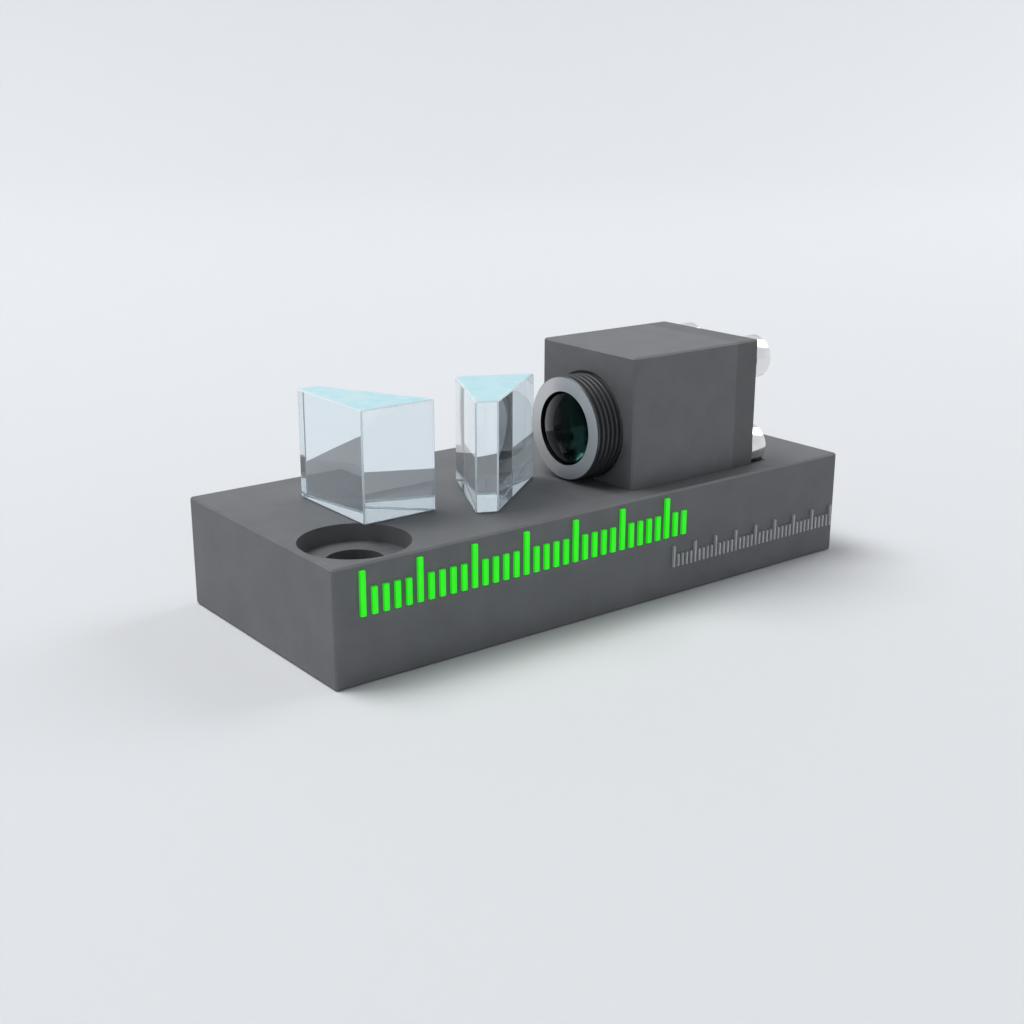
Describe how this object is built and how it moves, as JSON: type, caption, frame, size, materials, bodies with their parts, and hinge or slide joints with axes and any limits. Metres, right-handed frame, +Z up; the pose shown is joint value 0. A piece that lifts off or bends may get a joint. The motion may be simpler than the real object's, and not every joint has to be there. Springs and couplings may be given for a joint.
{
  "type": "laser diode module",
  "caption": "Flat base plate that carries a collimated laser diode head and a pair of wedge prisms, which widen the beam along one axis.",
  "frame": {"origin": "centre of the base plate's underside", "axes": "+X along the base towards the laser diode, so the beam leaves along -X; +Z up, away from the base"},
  "size_m": [0.054, 0.023, 0.0207],
  "materials": {
    "anodised_aluminium": "matte, dark grey anodised",
    "satin_aluminium": "satin, turned",
    "polished_steel": "polished",
    "spring_steel": "drawn wire",
    "gilt_steel": "gold plated",
    "gilt_copper": "gold plated copper",
    "gilt_lead": "gold plated",
    "can_steel": "nickel plated",
    "carrier_ceramic": "matte",
    "chip_ceramic": "polished crystal",
    "lens_glass": "polished, coated",
    "window_glass": "polished",
    "seal_glass": "fused bead",
    "prism_glass": "polished, coated",
    "insulating_plastic": "matte"
  },
  "bodies": {
    "root": {"base_plate": "anodised_aluminium", "diode_housing": "anodised_aluminium", "rear_plate": "anodised_aluminium", "rear_plate_screws": "polished_steel", "housing_screws": "polished_steel", "lens_barrel": "satin_aluminium", "collimating_lens": "lens_glass", "barrel_spring": "spring_steel", "diode_header": "gilt_steel", "diode_heat_post": "gilt_copper", "diode_submount": "carrier_ceramic", "diode_chip": "chip_ceramic", "diode_cap": "can_steel", "diode_window": "window_glass", "diode_lead_anode": "gilt_lead", "diode_lead_cathode": "gilt_lead", "diode_lead_case": "gilt_lead", "lead_seal_anode": "seal_glass", "lead_seal_cathode": "seal_glass", "clamp_sleeve": "insulating_plastic", "input_prism": "prism_glass", "output_prism": "prism_glass"}
  },
  "joints": []
}
